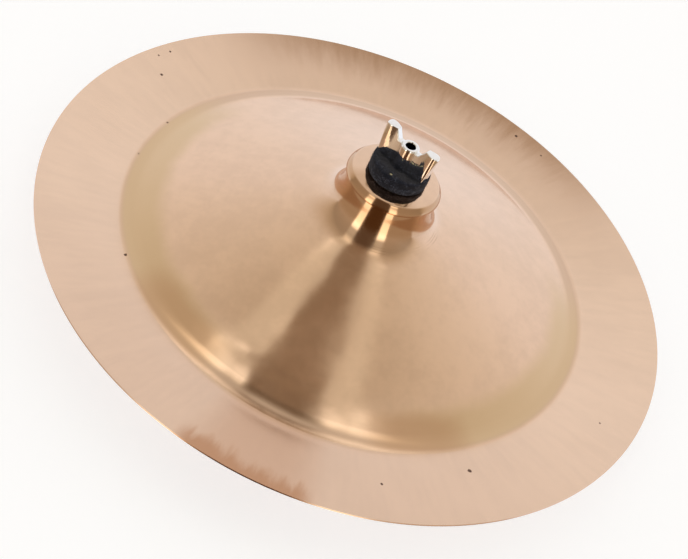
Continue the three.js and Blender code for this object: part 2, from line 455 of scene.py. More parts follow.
FLANGE_SLOPE = (RIM_HEIGHT - THICKNESS) / (RIM_RADIUS - FLANGE_TURN)
bell_top = plate_high.z


def bell_line():
    edge = (EDGE_RADIUS, EDGE_HEIGHT)
    turn = (EDGE_RADIUS + EDGE_TURN, EDGE_HEIGHT - EDGE_TURN * EDGE_SLOPE)
    wall = (turn[0] + EDGE_TURN, turn[1] - EDGE_TURN * WALL_SLOPE)
    ring = (RING_RADIUS, RING_HEIGHT)
    throat = (THROAT_RADIUS, THROAT_HEIGHT)
    neck_foot = (NECK_FOOT_RADIUS, NECK_FOOT_HEIGHT)
    foot_turn = (FOOT_TURN_RADIUS, FOOT_HEIGHT + BOW_SLOPE * (FOOT_RADIUS - FOOT_TURN_RADIUS))
    neck_pull = (2 * neck_foot[0] - foot_turn[0], 2 * neck_foot[1] - foot_turn[1])
    return joined(
        straight((HOLE_RADIUS, bell_top), (TOP_RADIUS, bell_top), 5),
        sway((TOP_RADIUS, bell_top), (TOP_RADIUS + 2 * EDGE_TURN, bell_top),
             (edge[0] - 2 * EDGE_TURN, edge[1] + 2 * EDGE_TURN * EDGE_SLOPE), edge, 10),
        curve(edge, turn, wall, 8),
        sway(wall, (wall[0] + EDGE_TURN, wall[1] - EDGE_TURN * WALL_SLOPE),
             (RING_RADIUS, RING_HEIGHT + RING_RISE), ring, 12),
        sway(ring, (RING_RADIUS, RING_HEIGHT - RING_CURL),
             (THROAT_RADIUS, THROAT_HEIGHT + RING_CURL), throat, 12),
        sway(throat, (THROAT_RADIUS + NECK_LEAN, THROAT_HEIGHT - NECK_PULL),
             neck_pull, neck_foot, 16),
        curve(neck_foot, foot_turn, (FOOT_RADIUS, FOOT_HEIGHT), 10),
    )


def plate_line():
    bow_end = (BOW_END, THICKNESS + BOW_SLOPE * (BOW_TURN - BOW_END))
    flange_start = (FLANGE_START, THICKNESS + FLANGE_SLOPE * (FLANGE_START - FLANGE_TURN))
    return joined(
        bell_line(),
        straight((FOOT_RADIUS, FOOT_HEIGHT), bow_end, 56),
        curve(bow_end, (BOW_TURN, THICKNESS), (LAND_START, THICKNESS), 12),
        straight((LAND_START, THICKNESS), (LAND_END, THICKNESS), 4),
        curve((LAND_END, THICKNESS), (FLANGE_TURN, THICKNESS), flange_start, 6),
        straight(flange_start, (RIM_RADIUS, RIM_HEIGHT), 26),
    )


line = plate_line()
print("the plate's line has", len(line), "points")

# %% [markdown]
# A spun plate is too perfect. The real one was beaten to its shape: low bulges lie beside the
# crease on the near and far sides, the near crease is drawn outwards, a fine line is pressed
# in along it, and blows have left shallow dents where the mirror image of the lamps swerves.
# Each of these is a small move of the open sheet's points. A bump would turn the mirror image
# too, but it would leave the crease and the rim as even as before. Broad waves in the whole
# sheet come from two layers of cloud noise, laid on by a helper that the felts use as well.
# A bulge is a direction and a spread in degrees, then a radius, its width inwards and
# outwards, and its height in millimetres. A dent is a direction, a radius, a width and a height.

# %% Marks of the hammer
BULGES = (
    (-92, 48, 165.0, 20.0, 6.5, 1.3),
    (-94, 12, 146.5, 3.5, 3.5, 0.12),
    (90, 80, 163.0, 24.0, 6.0, 1.0),
)
NEAR_CREASE = (-91, 52, 168.0, 14.0, 3.8)
CREASE_LINE = (170.6 * MM, 0.7 * MM, -0.10 * MM)
DENTS = (
    (-103.5, 154.0, 5.0, -0.09),
    (-99.0, 160.0, 5.0, 0.14),
    (-99.5, 116.0, 9.0, 0.12),
    (-82.5, 141.0, 8.0, 0.13),
    (-84.0, 110.0, 9.0, -0.10),
    (-95.0, 74.0, 8.0, 0.09),
    (-79.0, 84.0, 9.0, -0.08),
    (-133.0, 128.0, 14.0, -0.10),
    (-66.0, 150.0, 9.0, -0.09),
    (156.0, 137.0, 7.0, -0.07),
    (148.0, 128.0, 6.0, 0.05),
    (-105.0, 146.0, 5.5, 0.11),
    (-104.0, 137.5, 5.5, -0.08),
    (-112.0, 154.0, 6.0, 0.09),
    (-77.0, 156.0, 6.0, -0.14),
    (-74.0, 132.0, 8.0, 0.10),
    (-87.0, 158.0, 7.0, 0.08),
    (170.0, 110.0, 12.0, -0.08),
    (-150.0, 105.0, 10.0, 0.07),
    (25.0, 142.0, 9.0, -0.06),
)


def turned_from(direction, other):
    return abs((direction - other + pi) % tau - pi)


def bump_height(distance, width, height):
    return height * exp(-((distance / width) ** 2))


def side_share(direction, side, spread):
    return exp(-((turned_from(direction, radians(side)) / radians(spread)) ** 2))


def beaten(radius, direction):
    """How far the crease line and the bulges have moved the sheet there."""
    at, wide, high = CREASE_LINE
    move = bump_height(radius - at, wide, high)
    for side, spread, at, inner, outer, high in BULGES:
        wide = inner if radius < at * MM else outer
        bulge = bump_height(radius - at * MM, wide * MM, high * MM)
        move += side_share(direction, side, spread) * bulge
    return move


def drawn_out(radius, direction):
    """How far the crease has been drawn outwards there."""
    side, spread, at, wide, far = NEAR_CREASE
    return side_share(direction, side, spread) * bump_height(radius - at * MM, wide * MM, far * MM)


def beat(shell):
    places = []
    for azimuth, at, wide, high in DENTS:
        turned = radians(azimuth)
        places.append((at * MM * cos(turned), at * MM * sin(turned), wide * MM, high * MM))
    for vert in shell.verts:
        x, y = vert.co.x, vert.co.y
        radius = hypot(x, y)
        if radius > FOOT_RADIUS:
            direction = atan2(y, x)
            vert.co.z += beaten(radius, direction)
            vert.co.z += sum(bump_height(hypot(x - px, y - py), w, h) for px, py, w, h in places)
            wider = 1 + drawn_out(radius, direction) / radius
            vert.co.x, vert.co.y = x * wider, y * wider


def wave(piece, name, size, depth):
    texture = bpy.data.textures.new(name, "CLOUDS")
    texture.noise_scale = size
    texture.noise_depth = 1
    marks = piece.modifiers.new(name, "DISPLACE")
    marks.texture = texture
    marks.texture_coords = "LOCAL"
    marks.strength = depth
    marks.mid_level = 0.5


print("the hammer leaves", len(BULGES), "bulges and", len(DENTS), "dents")

# %% [markdown]
# A pattern on a turned piece runs round it or out from its axis, but noise alone makes clouds
# that ignore the lathe. A UV map would follow the piece, at the cost of a seam. Turning the
# position into a radius and a direction needs no map, and serves the bronze and the nut's bore.
# A second group makes a small ragged spot, for a pit in the bronze and for lint on the felt.

# %% Radius, direction and spots as node groups
RAG_SCALE, RAG_SHARE = 900, 1.2
SPOT_EDGE = (1.1, 0.75)


def new_group(name, inputs, outputs):
    group = bpy.data.node_groups.new(name, "ShaderNodeTree")
    for socket, kind in inputs.items():
        group.interface.new_socket(socket, in_out="INPUT", socket_type="NodeSocket" + kind)
    for socket, kind in outputs.items():
        group.interface.new_socket(socket, in_out="OUTPUT", socket_type="NodeSocket" + kind)
    entry = group.nodes.new("NodeGroupInput").outputs
    end = group.nodes.new("NodeGroupOutput").inputs
    return group, entry, end


def use(tree, group, **inputs):
    return add(tree, "ShaderNodeGroup", inputs, node_tree=group).outputs


def polar_group():
    group, entry, end = new_group(
        "radius and direction", {"Place": "Vector"}, {"Radius": "Float", "Direction": "Vector"},
    )
    flat = add(group, "ShaderNodeVectorMath", {0: entry["Place"], 1: (1, 1, 0)}, operation="MULTIPLY")
    length = add(group, "ShaderNodeVectorMath", {0: flat.outputs[0]}, operation="LENGTH")
    unit = add(group, "ShaderNodeVectorMath", {0: flat.outputs[0]}, operation="NORMALIZE")
    group.links.new(length.outputs["Value"], end["Radius"])
    group.links.new(unit.outputs[0], end["Direction"])
    return group


def spot_group():
    """A ragged spot round a centre, as a mask."""
    group, entry, end = new_group(
        "spot", {"Place": "Vector", "Centre": "Vector", "Size": "Float"}, {"Mask": "Float"},
    )
    ragged = clouds(group, entry["Place"], RAG_SCALE, 2)
    ends = {0: entry["Place"], 1: entry["Centre"]}
    away = add(group, "ShaderNodeVectorMath", ends, operation="DISTANCE").outputs["Value"]
    share = calculate(group, "DIVIDE", away, entry["Size"])
    middle = calculate(group, "SUBTRACT", share, RAG_SHARE / 2)
    uneven = calculate(group, "MULTIPLY_ADD", ragged, RAG_SHARE, middle)
    group.links.new(fade(group, uneven, *SPOT_EDGE), end["Mask"])
    return group


POLAR = polar_group()
SPOT = spot_group()
print("the node groups are", POLAR.name, "and", SPOT.name)

# %% [markdown]
# Bronze for cymbals is copper with a fifth of tin, pinkish where it is bare and brown where it has
# stained. A picture wrapped round the plate would carry its highlights with it. Here each golden band,
# stain and painted shade is a mask of radius and direction over the bare metal. A side is a direction in
# degrees, with the degrees either way at which its mask starts to fade and ends.

# %% Places and sides for the bronze
def lathe_place(tree, radius, direction, rings, round_share):
    """A place for noise that changes fast with the radius and slowly round the plate."""
    ring = calculate(tree, "MULTIPLY", radius, rings)
    turned = add(tree, "ShaderNodeVectorMath", {0: direction, "Scale": round_share}, operation="SCALE")
    column = add(tree, "ShaderNodeCombineXYZ", {"Z": ring}).outputs[0]
    return add(tree, "ShaderNodeVectorMath", {0: turned.outputs[0], 1: column}).outputs[0]


def towards(tree, direction, azimuth, inner, outer):
    """A mask that is full within inner degrees of an azimuth and gone past outer degrees."""
    heading = (cos(radians(azimuth)), sin(radians(azimuth)), 0)
    match = add(tree, "ShaderNodeVectorMath", {0: direction, 1: heading}, operation="DOT_PRODUCT")
    return fade(tree, match.outputs["Value"], cos(radians(outer)), cos(radians(inner)))


def on_sides(tree, direction, sides):
    masks = [towards(tree, direction, *side) for side in sides]
    return calculate(tree, "MAXIMUM", *masks)


# %% [markdown]
# Small pits mark the flange and the crease, and the turning tool has left fine lines round the
# bell's foot. Modelled, they would need a far finer mesh, and at this size dark spots and rings
# in the colour are enough. A pit is a direction in degrees, then a radius and a size in
# millimetres, and a line is a radius in millimetres.

# %% Pits and turned lines
PITS = (
    (-49.75, 189.0, 1.5), (-68.5, 200.0, 0.9), (153.0, 221.0, 0.9), (156.0, 221.0, 0.8),
    (159.0, 205.0, 1.2), (169.0, 170.0, 0.9), (-16.0, 204.5, 0.7), (-142.0, 171.5, 1.2),
    (-176.0, 170.0, 0.7), (-121.0, 160.0, 0.6), (70.0, 218.0, 1.3), (63.0, 219.0, 0.8),
)
TURNED_LINES = (35.2, 40.4, 41.8, 43.6)
LINE_WIDTH = (0.4 * MM, 0.1 * MM)


def pit_mask(tree, place):
    mask = None
    for azimuth, radius, size in PITS:
        turned = radians(azimuth)
        slope_height = RIM_HEIGHT - FLANGE_SLOPE * (RIM_RADIUS - radius * MM)
        centre = (radius * MM * cos(turned), radius * MM * sin(turned), slope_height)
        spot = use(tree, SPOT, Place=place, Centre=centre, Size=size * MM)["Mask"]
        mask = spot if mask is None else calculate(tree, "MAXIMUM", mask, spot)
    return mask


def turned_lines(tree, radius):
    mask = 0.0
    for at in TURNED_LINES:
        away = calculate(tree, "ABSOLUTE", calculate(tree, "SUBTRACT", radius, at * MM))
        mask = calculate(tree, "ADD", mask, fade(tree, away, *LINE_WIDTH))
    return mask


# %% [markdown]
# Under its golden bands the bow is bare and pinkish, and the flange is a little paler, with painted
# shade on its near and far sides. A darker band lies along the crease between them. One flat colour
# would look like plastic, so noise makes each of them a few parts in a hundred lighter or darker. A
# noise is a scale, a detail and a roughness.

# %% Bare bronze
PINK_BRONZE = (0.80, 0.575, 0.43)
FLANGE_PINK = (0.86, 0.65, 0.515)
FLANGE_SHADE_PINK = (0.76, 0.555, 0.425)
CREASE_BROWN = (0.66, 0.47, 0.34)
BLOTCHES = (75, 4, 0.7)
CREASE_BAND_START, CREASE_BAND_END = (160 * MM, 164 * MM), (172 * MM, 168.5 * MM)


def bare_colour(tree, place, radius, direction, on_flange, patches, streaks):
    """The polished bow, the brushed flange with painted shade on its near and far sides, and a darker
    band along the crease between them.
    """
    # Painted shade: the flange is darker on its near and far sides, where it mirrors the plate's own
    # bell.
    along = calculate(tree, "ABSOLUTE", axis_of(tree, direction, "Y"))
    flange = blend_colours(tree, fade(tree, along, 0.2, 1.0), FLANGE_PINK, FLANGE_SHADE_PINK)
    unevenness = calculate(tree, "ADD", streaks, patches)
    flange = toned(tree, flange, fade(tree, unevenness, 0.7, 1.3, 0.97, 1.03))
    blotches = calculate(tree, "ADD", clouds(tree, place, *BLOTCHES), patches)
    bow = toned(tree, PINK_BRONZE, fade(tree, blotches, 0.75, 1.25, 0.955, 1.035))
    bare = blend_colours(tree, on_flange, bow, flange)
    # The crease is made a darker brown in a band between two radii.
    crease_band = product(tree, fade(tree, radius, *CREASE_BAND_START), fade(tree, radius, *CREASE_BAND_END), 0.9)
    return blend_colours(tree, crease_band, bare, CREASE_BROWN)


# %% [markdown]
# A golden band lies inside the crease on two sides. Painted shade in brown covers the bell's wall below
# its dome, the bow's near foot is painted brown as the dark reflection of the neck, and the dark edges
# of the two lamps' fans are painted in brown by the crease. Stains lick inwards from the rim, near and
# far. They could be painted by hand on a map of the plate. Masks between two radii, with noise to make
# their edges ragged, need no map, and each can be moved by changing a number.

# %% Golden bands, painted shade and stains
GOLD_BAND = (0.69, 0.505, 0.32)
# The brown of painted shade and painted dark reflections on the bell and the bow.
PAINTED_SHADE_BROWN = (0.57, 0.355, 0.21)
NEAR_STAIN = (0.52, 0.28, 0.16)
FAR_STAIN = (0.40, 0.23, 0.13)
PIT_BROWN = (0.07, 0.03, 0.02)
PATCH_REACH = 16 * MM
GOLD_BAND_START, GOLD_BAND_END = (146 * MM, 160 * MM), (172 * MM, 167 * MM)
GOLD_BAND_SIDES = ((-160, 32, 56), (-20, 24, 48))
FOOT_FADE, FOOT_SIDE = (62 * MM, 48 * MM), (-102, 36, 62)
WALL_TOP, WALL_BASE = (75.1 * MM, 74.3 * MM), (44 * MM, 54 * MM)
# Where the dark edges of the two lamps' fans are painted in, by the crease.
DARK_EDGE_START, DARK_EDGE_END = (150 * MM, 163 * MM), (174 * MM, 169 * MM)
DARK_EDGE_SIDES = ((-122, 5, 17), (-58, 4, 15))
NEAR_SIDE, NEAR_LICK, NEAR_FADE = (-91.5, 8.5, 12), 30 * MM, (226 * MM, 241 * MM)
SHADE_SIDE, SHADE_FADE = (-90.5, 2, 13), (168 * MM, 175 * MM)
FAR_SIDE, FAR_LICK, FAR_FADE = (91, 14, 52), 36 * MM, (200 * MM, 256 * MM)


def painted_shade_mask(tree, place, radius, uneven_radius, direction):
    """Painted shade and painted dark reflections in brown: the bell's wall, the bow's near foot, and the
    lamps' dark edges by the crease.
    """
    # Painted reflection: the bow's near foot is brown where it mirrors the dark neck.
    near_side = towards(tree, direction, *FOOT_SIDE)
    foot = product(tree, fade(tree, uneven_radius, *FOOT_FADE), near_side, 0.55)
    # Painted shade: the bell's wall below its dome is brown, as shade under the ring.
    height = axis_of(tree, place, "Z")
    wall = product(tree, fade(tree, height, *WALL_TOP), fade(tree, height, *WALL_BASE), 0.9)
    # Painted reflection: dark edges of the two lamps' fans lie by the crease, one beside each fan.
    dark_edges = product(
        tree, fade(tree, uneven_radius, *DARK_EDGE_START), fade(tree, radius, *DARK_EDGE_END),
        on_sides(tree, direction, DARK_EDGE_SIDES), 0.7,
    )
    return calculate(tree, "MAXIMUM", calculate(tree, "MAXIMUM", foot, wall), dark_edges)


def rim_stain(tree, radius, direction, streaks, side, lick, ends):
    """A stain that licks inwards from the rim on one side."""
    licked = calculate(tree, "MULTIPLY_ADD", streaks, lick, radius)
    return product(tree, towards(tree, direction, *side), fade(tree, licked, *ends))


def bronze_colour(tree, place, radius, direction, on_flange, patches, streaks):
    uneven_radius = calculate(tree, "MULTIPLY_ADD", patches, PATCH_REACH, radius)
    colour = bare_colour(tree, place, radius, direction, on_flange, patches, streaks)
    # A golden band inside the crease on two sides.
    golden_band = product(
        tree, fade(tree, uneven_radius, *GOLD_BAND_START), fade(tree, radius, *GOLD_BAND_END),
        on_sides(tree, direction, GOLD_BAND_SIDES), 0.9,
    )
    colour = blend_colours(tree, golden_band, colour, GOLD_BAND)
    # The painted shade and painted dark reflections, laid on in brown.
    painted_shade = painted_shade_mask(tree, place, radius, uneven_radius, direction)
    colour = blend_colours(tree, painted_shade, colour, PAINTED_SHADE_BROWN)
    broken = fade(tree, patches, 0.46, 0.60, 0.0, 0.45)
    colour = blend_colours(tree, product(tree, turned_lines(tree, radius), broken), colour, FAR_STAIN)
    near = rim_stain(tree, radius, direction, streaks, NEAR_SIDE, NEAR_LICK, NEAR_FADE)
    colour = blend_colours(tree, product(tree, near, 0.85), colour, NEAR_STAIN)
    shade = product(tree, towards(tree, direction, *SHADE_SIDE), fade(tree, radius, *SHADE_FADE), 0.4)
    colour = blend_colours(tree, shade, colour, NEAR_STAIN)
    far = rim_stain(tree, radius, direction, streaks, FAR_SIDE, FAR_LICK, FAR_FADE)
    colour = blend_colours(tree, product(tree, far, 0.9), colour, FAR_STAIN)
    return blend_colours(tree, product(tree, pit_mask(tree, place), 0.9), colour, PIT_BROWN)


# %% [markdown]
# The bow is polished and the flange only brushed, so the bow mirrors and the flange glows. A
# picture of scratches would show its pixels close by. Fine rings of noise raise the surface
# instead, and an anisotropic shader draws each highlight out, with its tangent set by the axis.

# %% The bronze material
PATCHES, STREAKS, GROOVES = (16, 4, 0.6), (1, 4, 0.65), (1, 2, 0.5)
STREAK_RINGS, STREAK_TURN = 22, 26
FINE_RINGS, ROUND_DRAG = 1600, 1.2
POLISH_HAZE, BRUSH_HAZE = (0.09, 0.16), (0.21, 0.26)
GROOVE_DEPTH = 0.06 * MM


def bronze_material():
    material, tree, shader, place = new_material("bronze")
    polar = use(tree, POLAR, Place=place)
    radius, direction = polar["Radius"], polar["Direction"]
    on_flange = fade(tree, radius, LAND_END, FLANGE_START)
    patches = clouds(tree, place, *PATCHES)
    streaks = clouds(tree, lathe_place(tree, radius, direction, STREAK_RINGS, STREAK_TURN), *STREAKS)
    grooves = clouds(tree, lathe_place(tree, radius, direction, FINE_RINGS, ROUND_DRAG), *GROOVES)
    colour = bronze_colour(tree, place, radius, direction, on_flange, patches, streaks)
    polish = fade(tree, patches, 0.3, 0.7, *POLISH_HAZE)
    brush = fade(tree, streaks, 0.3, 0.7, *BRUSH_HAZE)
    haze = calculate(tree, "MULTIPLY_ADD", on_flange, calculate(tree, "SUBTRACT", brush, polish), polish)
    relief = calculate(tree, "ADD", grooves, product(tree, streaks, on_flange, 0.5))
    tangent = add(tree, "ShaderNodeTangent", direction_type="RADIAL", axis="Z")
    set_inputs(
        tree, shader, Base_Color=colour, Metallic=1, Roughness=haze, Anisotropic=0.35,
        Tangent=tangent.outputs[0], Normal=bumps(tree, relief, 0.10, GROOVE_DEPTH),
    )
    return material


BRONZE = bronze_material()
print("bronze is a graph of", len(BRONZE.node_tree.nodes), "nodes")

# %% [markdown]
# The plate is now made in the order of the workshop. The lathe spins the line into an open
# sheet, and the hammer's marks are set in it. The rest is left to modifiers, which stay easy
# to change: two displace the sheet in waves, Solidify gives it its thickness towards the
# underside, and a bevel rounds the edges of its rim and hole.

# %% The plate
PLATE_SIDES = 272
SHALLOW_WAVE, SHALLOW_SIZE = 0.08 * MM, 24 * MM
BROAD_WAVE, BROAD_SIZE = 0.22 * MM, 80 * MM
RIM_ROUND = 0.3 * MM


def make_plate():
    shell = lathe(line, PLATE_SIDES, False)
    outermost = max(shell.faces, key=lambda face: face.calc_center_median().x)
    if outermost.normal.z < 0:
        bmesh.ops.reverse_faces(shell, faces=shell.faces)
    beat(shell)
    plate = object_of("plate", shell, BRONZE)
    wave(plate, "shallow waves", SHALLOW_SIZE, SHALLOW_WAVE)
    wave(plate, "broad waves", BROAD_SIZE, BROAD_WAVE)
    wall = plate.modifiers.new("thickness", "SOLIDIFY")
    wall.thickness = THICKNESS
    wall.offset = -1
    round_edges(plate, RIM_ROUND, 2)
    return finished(plate, "cymbal", "bronze", "cymbal")


make_plate()

# %% [markdown]
# Wool felt is a mat of fibres. From afar it is a soft dark grey with lighter flecks, and it has next to
# no shine. Low down it is painted lighter, with more flecks, and its top darker: painted light, as if
# the bronze round its foot lit it. A weave would be wrong for it. Two sizes of noise make the flecks and
# the bump, and a touch of sheen gives the haze that short fibres have along an edge.

# %% Felt
CHARCOAL = (0.0065, 0.009, 0.0215)
GREY_FIBRE = (0.13, 0.15, 0.23)
LINT = (0.75, 0.70, 0.45)
LINT_PLACE, LINT_SIZE = (-0.0035, -0.0170, 0.0872), 0.8 * MM
FELT_LIT_FROM, FELT_LIT_TO = 79 * MM, 84 * MM
FIBRE_DEPTH = 0.5 * MM


def felt_material():
    material, tree, shader, place = new_material("felt")
    fibres = clouds(tree, place, 1500, 5, 0.75)
    tufts = clouds(tree, place, 260, 3, 0.7)
    flecks = product(tree, fade(tree, fibres, 0.48, 0.64), fade(tree, tufts, 0.38, 0.62, 0.15, 1.0))
    # Painted light: more flecks low down and fewer on the top, as if the bronze round its foot lit it.
    lit_low = fade(tree, axis_of(tree, place, "Z"), FELT_LIT_FROM, FELT_LIT_TO, 1.9, 0.9)
    colour = blend_colours(tree, product(tree, flecks, lit_low), CHARCOAL, GREY_FIBRE)
    lint = use(tree, SPOT, Place=place, Centre=LINT_PLACE, Size=LINT_SIZE)["Mask"]
    colour = blend_colours(tree, lint, colour, LINT)
    relief = calculate(tree, "MULTIPLY_ADD", tufts, 1.5, fibres)
    set_inputs(
        tree, shader, Base_Color=colour, Roughness=1.0, Specular_IOR_Level=0.1,
        Sheen_Weight=0.12, Sheen_Roughness=0.6, Normal=bumps(tree, relief, 0.9, FIBRE_DEPTH),
    )
    return material


FELT = felt_material()
print("felt is a graph of", len(FELT.node_tree.nodes), "nodes")

# %% [markdown]
# The lower felt is nearly as new, and the nut has squeezed the upper one until its top edge
# rolls over. Cloth simulation suits a cushion full of air, but felt is a solid mat. Here each
# felt is a turned ring, with a rounder upper edge for the squeezed one.

# %% The section of a felt
FELT_BORE = 5.7 * MM
FELT_RADIUS = 20.0 * MM
SQUEEZED_RADIUS = 20.7 * MM
FELT_ROUND = 1.6 * MM
ROLL_ROUND = 2.2 * MM
FELT_SIDES = 150
upper_low, upper_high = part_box("upper_felt")
lower_low, lower_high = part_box("lower_felt")
nut_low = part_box("wing_nut")[0]
print("the squeezed felt is", round((nut_low.z - upper_low.z) / MM, 1), "mm thick under the nut")


def felt_line(radius, foot, top, low_round, top_round):
    return joined(
        straight((FELT_BORE, top), (FELT_BORE, foot), 10),
        straight((FELT_BORE, foot), (radius - low_round, foot), 16),
        curve((radius - low_round, foot), (radius, foot), (radius, foot + low_round), 5),
        straight((radius, foot + low_round), (radius, top - top_round), 9),
        curve((radius, top - top_round), (radius, top), (radius - top_round, top), 9),
        straight((radius - top_round, top), (FELT_BORE, top), 16),
    )[:-1]


# %% [markdown]
# The nut has sunk into the upper felt and left a valley between two rolls. A boolean would cut
# felt away, but a nut only presses it. So each point sinks in step with the top above it, the
# side swells a little where the mat is squeezed most, and noise makes it all a bit lumpy.

# %% Pressed by the nut
NUT_ANGLE = radians(-22)
NUT_SINK = 0.2 * MM
HUB_POCKET, POCKET_FADE = 7.2 * MM, 3 * MM
VALLEY_FLOOR, VALLEY_LIP = 4.5 * MM, 15.0 * MM
WING_LIFT, WING_LIFT_START = 2.0 * MM, 13.0 * MM
CREST_DROP = 0.8 * MM
CREST_LUMP, CREST_LUMP_SIZE = 0.4 * MM, 9 * MM
SIDE_LUMP, SIDE_LUMP_SIZE = 0.35 * MM, 6 * MM
SWELLING = 0.035
FIXED_RADIUS = 1.2 * FELT_BORE


def smooth_step(value, start, end):
    share = min(max((value - start) / (end - start), 0), 1)
    return share * share * (3 - 2 * share)


def pressed_top(along, across):
    """The height of the squeezed felt's top: a valley under the nut between two rolls."""
    floor = nut_low.z - NUT_SINK
    floor += WING_LIFT * smooth_step(abs(along), WING_LIFT_START, SQUEEZED_RADIUS)
    rise = min(max((abs(across) - VALLEY_FLOOR) / (VALLEY_LIP - VALLEY_FLOOR), 0), 1)
    rise *= smooth_step(hypot(along, across), HUB_POCKET, HUB_POCKET + POCKET_FADE)
    crest = upper_high.z - CREST_DROP
    crest += CREST_LUMP * noise.noise(Vector((along, across, 0)) / CREST_LUMP_SIZE)
    return floor + (crest - floor) * rise


def press(shape):
    """Presses every point of the felt in step with the height of the top above it."""
    full = upper_high.z - upper_low.z
    for vert in shape.verts:
        x, y = vert.co.x, vert.co.y
        along = x * cos(NUT_ANGLE) + y * sin(NUT_ANGLE)
        across = y * cos(NUT_ANGLE) - x * sin(NUT_ANGLE)
        share = (pressed_top(along, across) - upper_low.z) / full
        level = (vert.co.z - upper_low.z) / full
        vert.co.z = upper_low.z + full * level * share
        swelling = 1 + SWELLING * (1 - share) * sin(pi * level)
        lump = SIDE_LUMP * noise.noise(vert.co / SIDE_LUMP_SIZE)
        radius = max(hypot(x, y), FELT_BORE)
        if radius > FIXED_RADIUS:
            vert.co.x *= swelling + lump / radius
            vert.co.y *= swelling + lump / radius


# %% [markdown]
# Close by, tufts roughen a felt and single hairs stand off it. A hair system has a whole panel
# of settings, and its strands are no mesh. Small pointed cones, set on faces drawn by their
# area and leaning at random, are one mesh that goes wherever the felt goes.

# %% Tufts and hairs
FELT_WAVES = (("tufts", 2.2 * MM, 0.30 * MM), ("fibres", 0.8 * MM, 0.16 * MM))
HAIR_SHORT, HAIR_LONG, HAIR_SUNK = 0.5 * MM, 1.3 * MM, 0.15 * MM
HAIR_ROOT, HAIR_TIP = 0.035 * MM, 0.012 * MM
HAIR_STAND, LOWEST_STAND = 0.8, 0.1


def felt_surface(piece):
    refine = piece.modifiers.new("refine", "SUBSURF")
    refine.levels = refine.render_levels = 1
    for name, size, depth in FELT_WAVES:
        wave(piece, name, size, depth)


def evaluated(piece):
    bpy.context.view_layer.update()
    shown = piece.evaluated_get(bpy.context.evaluated_depsgraph_get())
    return bpy.data.meshes.new_from_object(shown)


def fuzz(name, piece, count, seed):
    """Fine pointed hairs that stand off a felt's surface."""
    draw = random.Random(seed)
    skin = evaluated(piece)
    faces = [face for face in skin.polygons if hypot(face.center.x, face.center.y) > FELT_BORE + MM]
    hairs = bmesh.new()
    for face in draw.choices(faces, weights=[face.area for face in faces], k=count):
        lean = Vector([draw.uniform(-1, 1) for _ in range(3)])
        heading = (face.normal * HAIR_STAND + lean).normalized()
        if heading.dot(face.normal) < LOWEST_STAND:
            heading = face.normal.copy()
        length = draw.uniform(HAIR_SHORT, HAIR_LONG)
        stand = heading.to_track_quat("Z", "Y").to_matrix().to_4x4()
        root = face.center + heading * (length / 2 - HAIR_SUNK)
        bmesh.ops.create_cone(
            hairs, cap_ends=True, cap_tris=True, segments=3, radius1=HAIR_ROOT, radius2=HAIR_TIP,
            depth=length, matrix=Matrix.Translation(root) @ stand,
        )
    bpy.data.meshes.remove(skin)
    return object_of(name, hairs, FELT)


# %% [markdown]
# A felt gives where the parts round it move. Here each felt is turned and given its tufts and hairs, the
# upper one is pressed by the nut first, and each is left where its plain piece stood, which is hidden.

# %% The two felts
UPPER_HAIRS, LOWER_HAIRS, HAIR_FACES = 2600, 700, 9


def make_upper_felt():
    line = felt_line(SQUEEZED_RADIUS, upper_low.z, upper_high.z, FELT_ROUND, ROLL_ROUND)
    shape = lathe(line, FELT_SIDES, True)
    press(shape)
    felt = object_of("squeezed_felt", shape, FELT)
    felt_surface(felt)
    hairs = fuzz("squeezed_felt_fuzz", felt, UPPER_HAIRS, 5)
    for piece in (felt, hairs):
        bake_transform(piece)
    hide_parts("upper_felt")
    print("the upper felt carries", len(hairs.data.polygons) // HAIR_FACES, "hairs")


def make_lower_felt():
    line = felt_line(FELT_RADIUS, lower_low.z, lower_high.z, FELT_ROUND, FELT_ROUND)
    felt = object_of("seat_felt", lathe(line, FELT_SIDES, True), FELT)
    felt_surface(felt)
    hairs = fuzz("seat_felt_fuzz", felt, LOWER_HAIRS, 6)
    for piece in (felt, hairs):
        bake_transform(piece)
    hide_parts("lower_felt")
    print("the lower felt carries", len(hairs.data.polygons) // HAIR_FACES, "hairs")


make_upper_felt()
make_lower_felt()

# %% [markdown]
# Chrome is a hard white mirror, and on a cast piece it never lies quite flat. One noise smears its
# polish and another gives it a faint ripple. The bore is rough and unlit, and its shade is painted: the
# colour goes dark close to the hole's radius. That could be a second material on picked faces, but a
# mask of the radius needs no picking.

# %% Chrome
CHROME_WHITE = (0.90, 0.905, 0.915)
BORE_SHADE = (0.03, 0.024, 0.02)
BORE_SHADE_FROM, BORE_SHADE_FADE = 3.75 * MM, 0.2 * MM
RIPPLE_DEPTH = 0.03 * MM


def chrome_material():
    material, tree, shader, place = new_material("chrome")
    smears = clouds(tree, place, 180, 3, 0.6)
    ripple = clouds(tree, place, 700, 1)
    haze = fade(tree, smears, 0.35, 0.75, 0.03, 0.12)
    tone = fade(tree, smears, 0.3, 0.8, 1.0, 0.95)
    colour = toned(tree, CHROME_WHITE, tone)
    # Painted shade: the colour goes dark inside the nut's bore.
    dark_bore = fade(tree, use(tree, POLAR, Place=place)["Radius"], BORE_SHADE_FROM, BORE_SHADE_FROM - BORE_SHADE_FADE)
    colour = blend_colours(tree, dark_bore, colour, BORE_SHADE)
    normal = bumps(tree, ripple, 0.15, RIPPLE_DEPTH)
    set_inputs(tree, shader, Base_Color=colour, Metallic=1, Roughness=haze, Normal=normal)
    return material


CHROME = chrome_material()
print("chrome is a graph of", len(CHROME.node_tree.nodes), "nodes")

